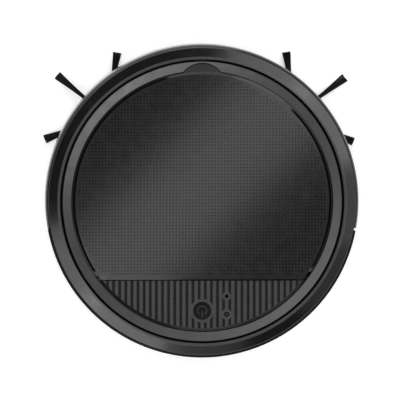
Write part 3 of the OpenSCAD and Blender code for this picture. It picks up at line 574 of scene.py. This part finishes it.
def fill_border(bm, outline_verts, cells):
    """Fills the flat strip between the dimpled cells and the sheet's edge."""
    edge = [e for e in bm.edges if len(e.link_faces) == 1]
    inner = sorted({v for e in edge for v in e.verts}, key=lambda v: (v.co.x, v.co.y))
    every = outline_verts + inner
    index = {v: k for k, v in enumerate(every)}
    n = len(outline_verts)
    lines = [(k, (k + 1) % n) for k in range(n)]
    lines += [(index[e.verts[0]], index[e.verts[1]]) for e in edge]
    points = [v.co.xy for v in every]
    _, _, faces, sources, _, _ = delaunay_2d_cdt(
        points, lines, [list(range(n))], INSIDE_ONLY, SAME_POINT
    )
    filled = set(cells)
    for face in faces:
        corners = [sources[k][0] for k in face]
        mid = sum((points[k] for k in corners), Vector((0, 0))) / 3
        cell = (math.floor(mid.x / DIMPLE_PITCH + 0.5), math.floor(mid.y / DIMPLE_PITCH))
        if cell not in filled:
            bm.faces.new([every[k] for k in corners])


def add_lid_sheet(material):
    outline, notch_x, notch_y = lid_outline()
    cells = cells_inside(notch_x, notch_y)
    bm = bmesh.new()
    corners = {}

    def corner(i, j):
        if (i, j) not in corners:
            spot = ((i - 0.5) * DIMPLE_PITCH, j * DIMPLE_PITCH, PANEL_HI.z)
            corners[i, j] = bm.verts.new(spot)
        return corners[i, j]

    for i, j in cells:
        square = [corner(i + 1, j), corner(i + 1, j + 1), corner(i, j + 1), corner(i, j)]
        dimple(bm, square, Vector((i * DIMPLE_PITCH, (j + 0.5) * DIMPLE_PITCH)))
    top = [bm.verts.new((*p, PANEL_HI.z)) for p in outline]
    fill_border(bm, top, cells)
    low = [bm.verts.new((*p, PANEL_LO.z)) for p in outline]
    for k in range(len(top)):
        n = (k + 1) % len(top)
        bm.faces.new((top[k], low[k], low[n], top[n]))
    bm.faces.new(low)
    mesh = finished_mesh("lid_dimples", bm)
    new_piece("lid_dimples", mesh, "lid", "lid_texture", material, "lid_panel")


# ---------------------------------------------------------------- bristles

BRUSH_ARMS = 6
# Which way each brush's first tuft points at rest, in degrees.
BRUSHES = {"left": 20.5, "right": 36.5}
# Tufts that reach further than the rest, by brush and arm, with the extra length.
LONG_ARMS = {("left", 3): 2.0 * MM, ("right", 5): 1.0 * MM}
TUFT_ROOT, TUFT_TIP = 21.45 * MM, 57.9 * MM
TUFT_DEPTH = 1.25 * MM
TUFT_STRANDS = 110
STRAND_RADIUS = 0.17 * MM
STRAND_POINTS = 6
# How far the strands lean, and how unevenly they end, as standard deviations.
LEAN_SPREAD = 0.05
END_SPREAD = 0.6
# In millimetres, as the terms in 1, t and t squared, with t going from root to tip.
HALF_WIDTH = (1.35, 1.0, 1.3)
HALF_THICKNESS = (1.1, -0.45, 0.0)
DROOP = (0.0, 0.9, 3.0)


def curve(terms, t):
    a, b, c = terms
    return (a + b * t + c * t * t) * MM


def strand_path(end, top, across, above, lean):
    """The line of one bristle, along +X from the brush's axis."""
    path = []
    for k in range(STRAND_POINTS):
        t = k / (STRAND_POINTS - 1)
        x = TUFT_ROOT + (end - TUFT_ROOT) * t
        y = curve(HALF_WIDTH, t) * (across + lean * t)
        z = top - TUFT_DEPTH - curve(DROOP, t) + above * curve(HALF_THICKNESS, t)
        path.append(Vector((x, y, z)))
    return path


def add_strand(bm, points):
    """One bristle: a thin square tube through the points."""
    rings = []
    for k, p in enumerate(points):
        ahead = heading(points, k)
        side = ahead.cross(Vector((0, 0, 1))).normalized() * STRAND_RADIUS
        up = side.cross(ahead).normalized() * STRAND_RADIUS
        rings.append([bm.verts.new(p + d) for d in (side, up, -side, -up)])
    close_tube(bm, rings)


def add_bristles(side, phase, material):
    """Six flared tufts of fine bristles that droop towards their tips."""
    rng = random.Random(side)
    node = f"side_brush_bristles_{side}"
    hub_lo, hub_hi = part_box(f"side_brush_hub_{side}")
    _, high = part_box(node)
    centre = middle(hub_lo, hub_hi)
    axis = Vector((centre.x, centre.y, 0))
    bm = bmesh.new()
    for arm in range(BRUSH_ARMS):
        turn = Matrix.Rotation(math.radians(phase + 360 * arm / BRUSH_ARMS), 3, "Z")
        reach = TUFT_TIP + LONG_ARMS.get((side, arm), 0)
        for _ in range(TUFT_STRANDS):
            across, above = rng.uniform(-1, 1), rng.uniform(-1, 1)
            lean = rng.gauss(0, LEAN_SPREAD)
            end = reach - abs(rng.gauss(0, END_SPREAD)) * MM
            path = strand_path(end, high.z, across, above, lean)
            add_strand(bm, [turn @ p + axis for p in path])
    mesh = finished_mesh(f"bristles_{side}", bm, sharp_degrees=60)
    new_piece(f"bristles_{side}", mesh, f"side_brush_{side}", "bristle", material, node)


# ---------------------------------------------------------------- power mark

# The button's dish is part of a sphere, and starts this far inside the button's box.
DISH_RADIUS = 30 * MM
DISH_EDGE = 2 * MM
MARK_HALF_LINE = 0.42 * MM
MARK_RAISE = 0.1 * MM
# The line's section, as shares of its half width and its height.
MARK_SECTION = [(1, -1), (1, 0.6), (0.7, 1), (-0.7, 1), (-1, 0.6), (-1, -1)]
MARK_RING_RADIUS = 4.0 * MM
# The ring is open by this much on either side of the stroke.
MARK_GAP = math.radians(38)
MARK_RING_STEPS = 40
# The straight stroke, in millimetres from the button's middle.
STROKE_START, STROKE_LENGTH = 0.4, 5.6
STROKE_STEPS = 6


def on_dish(spot, lift):
    """A point over the dish, by its place from the button's middle."""
    centre = middle(BUTTON_LO, BUTTON_HI)
    edge = (BUTTON_HI.x - BUTTON_LO.x) / 2 - DISH_EDGE
    lowest = BUTTON_HI.z - DISH_RADIUS + math.sqrt(DISH_RADIUS**2 - edge**2)
    r2 = spot.x * spot.x + spot.y * spot.y
    z = lowest + DISH_RADIUS - math.sqrt(DISH_RADIUS**2 - r2) + lift
    return Vector((centre.x + spot.x, centre.y + spot.y, z))


def add_line(bm, path):
    """A raised line that follows a path over the dish."""
    rows = []
    for k, p in enumerate(path):
        ahead = heading(path, k).normalized()
        side = Vector((-ahead.y, ahead.x)) * MARK_HALF_LINE
        rows.append([
            bm.verts.new(on_dish(p + side * across, MARK_RAISE * lift))
            for across, lift in MARK_SECTION
        ])
    close_tube(bm, rows)


def add_power_mark(material):
    """A plain power symbol, raised a little from the button's dish."""
    bm = bmesh.new()
    ring = []
    for k in range(MARK_RING_STEPS + 1):
        a = -math.pi / 2 + MARK_GAP + (2 * math.pi - 2 * MARK_GAP) * k / MARK_RING_STEPS
        ring.append(Vector((MARK_RING_RADIUS * math.cos(a), MARK_RING_RADIUS * math.sin(a))))
    add_line(bm, ring)
    stroke = []
    for k in range(STROKE_STEPS + 1):
        y = -(STROKE_START + STROKE_LENGTH * k / STROKE_STEPS) * MM
        stroke.append(Vector((0, y)))
    add_line(bm, stroke)
    mesh = finished_mesh("power_mark", bm, sharp_degrees=50)
    new_piece("power_mark", mesh, "power_button", "button", material)


# ---------------------------------------------------------------- build

add_camera()
paints = make_paints()
for part in frame["record"]["subparts"]:
    dress(NODES[part["node"]], paints[part["material_slot"]])
add_lid_sheet(paints["lid_texture"])
for side, phase in BRUSHES.items():
    add_bristles(side, phase, paints["bristle"])
add_power_mark(smooth("mark_satin", (0.018, 0.018, 0.0185), 0.4, 0.3).material)
add_floor(floor_paint().material)
add_studio()
